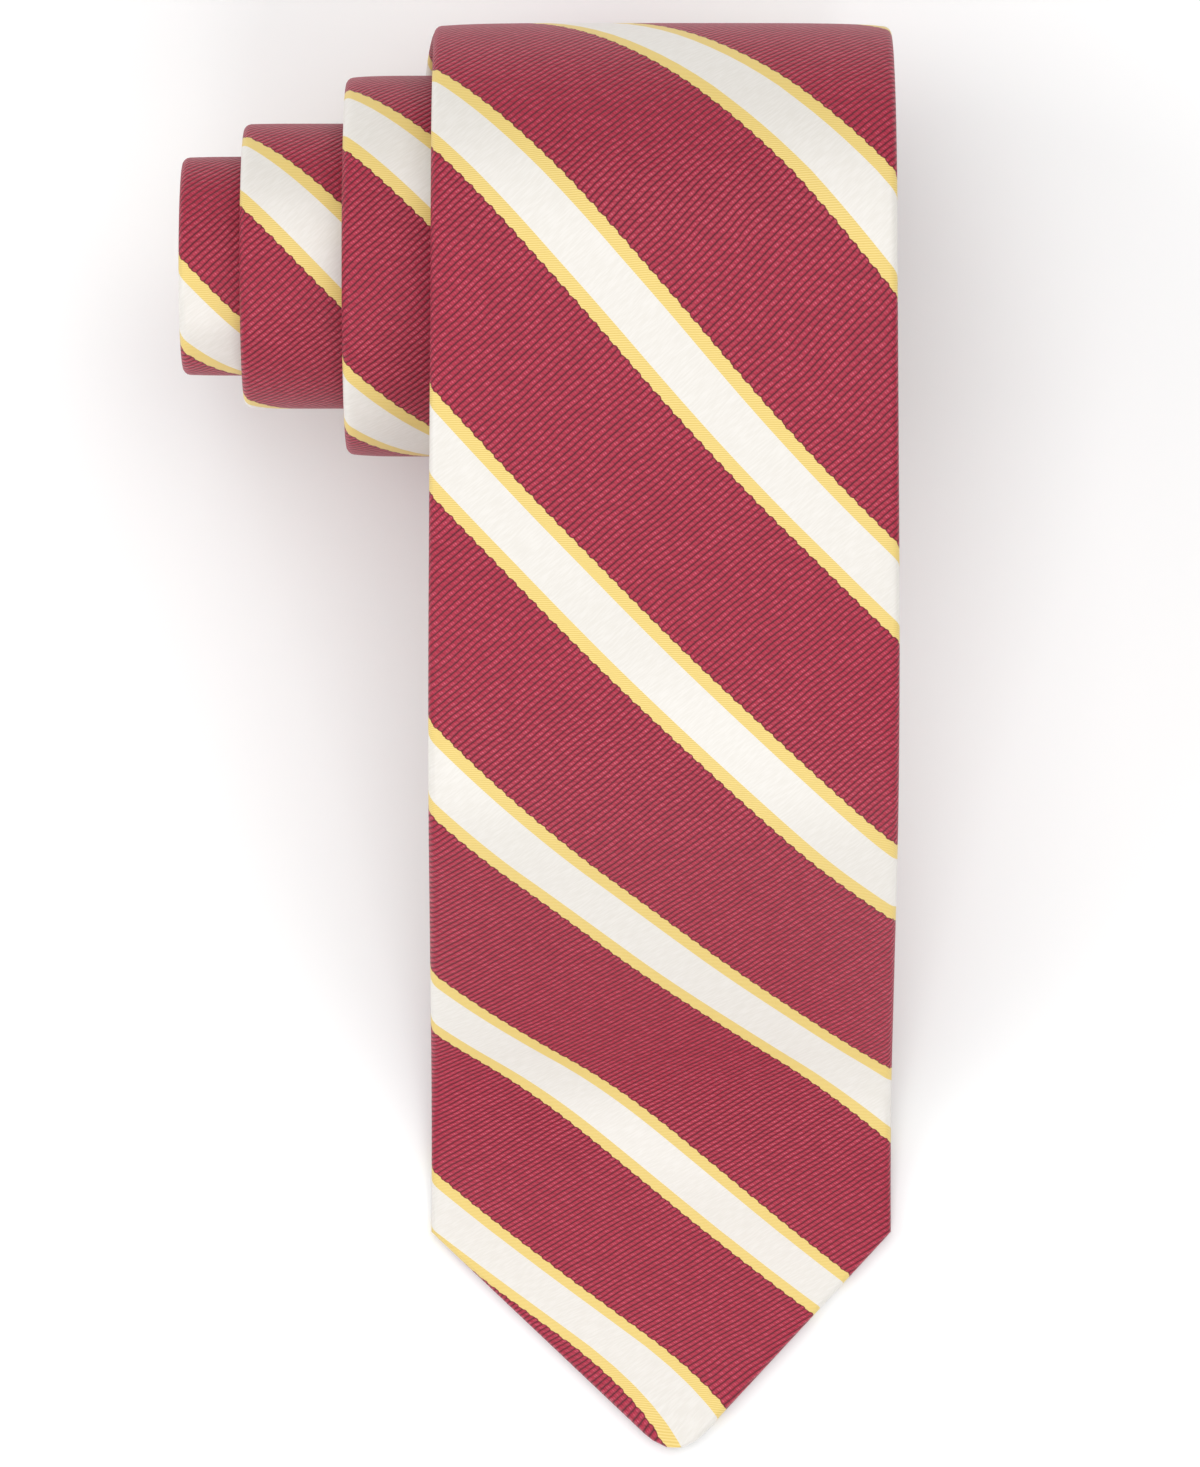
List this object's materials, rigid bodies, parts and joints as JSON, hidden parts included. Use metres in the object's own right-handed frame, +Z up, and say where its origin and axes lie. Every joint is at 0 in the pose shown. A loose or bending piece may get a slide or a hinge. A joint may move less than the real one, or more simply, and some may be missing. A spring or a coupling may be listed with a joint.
{
  "type": "necktie",
  "caption": "Striped silk necktie wound into a round roll with its turns stepped out to one side and the blade laid out to its point.",
  "frame": {"origin": "bottom middle of the whole tie as it lies, on the surface that it rests on", "axes": "+Z up, +Y from the blade's point towards the roll, +X across the blade, away from the side that the inner turns step out to; the roll's axis runs along X"},
  "size_m": [0.1252, 0.252, 0.0817],
  "materials": {
    "striped_silk": "ribbed burgundy silk with diagonal gold and cream satin stripes",
    "wool_interlining": "brushed cream wool",
    "tipping_silk": "smooth burgundy lining silk",
    "sewing_thread": "dark burgundy sewing thread",
    "woven_label": "blank woven satin label"
  },
  "bodies": {
    "outer_roll": {"outer_turn_shell": "striped_silk", "outer_turn_interlining": "wool_interlining", "outer_turn_slip_stitch": "sewing_thread"},
    "blade": {"blade_shell": "striped_silk", "blade_interlining": "wool_interlining", "blade_slip_stitch": "sewing_thread", "blade_tipping": "tipping_silk", "blade_bar_tack": "sewing_thread", "keeper_loop": "striped_silk", "keeper_tack_left": "sewing_thread", "keeper_tack_right": "sewing_thread", "maker_label": "woven_label", "label_stitch_left": "sewing_thread", "label_stitch_right": "sewing_thread", "care_label_tack": "sewing_thread"},
    "care_tab": {"care_label": "woven_label"},
    "middle_roll": {"middle_turn_shell": "striped_silk", "middle_turn_interlining": "wool_interlining", "middle_turn_slip_stitch": "sewing_thread"},
    "inner_roll": {"inner_turn_shell": "striped_silk", "inner_turn_interlining": "wool_interlining", "inner_turn_slip_stitch": "sewing_thread"},
    "tail_roll": {"tail_shell": "striped_silk", "tail_interlining": "wool_interlining", "tail_slip_stitch": "sewing_thread", "tail_tipping": "tipping_silk", "tail_bar_tack": "sewing_thread"}
  },
  "joints": [
    {"name": "blade_lift", "type": "hinge", "parent": "outer_roll", "child": "blade", "pos_m": [0.0215, 0.08423, 0.0817], "axis": [-1, 0, 0], "range_deg": [0, 110]},
    {"name": "middle_slide", "type": "slide", "parent": "outer_roll", "child": "middle_roll", "axis": [1, 0, 0], "range_m": [-0.006, 0.0157]},
    {"name": "inner_slide", "type": "slide", "parent": "middle_roll", "child": "inner_roll", "axis": [1, 0, 0], "range_m": [-0.006, 0.0177]},
    {"name": "tail_slide", "type": "slide", "parent": "inner_roll", "child": "tail_roll", "axis": [1, 0, 0], "range_m": [-0.006, 0.0112]},
    {"name": "care_label_swing", "type": "hinge", "parent": "blade", "child": "care_tab", "pos_m": [0.02148, -0.01239, 0.06252], "axis": [1, 0, 0], "range_deg": [-30, 70]}
  ]
}
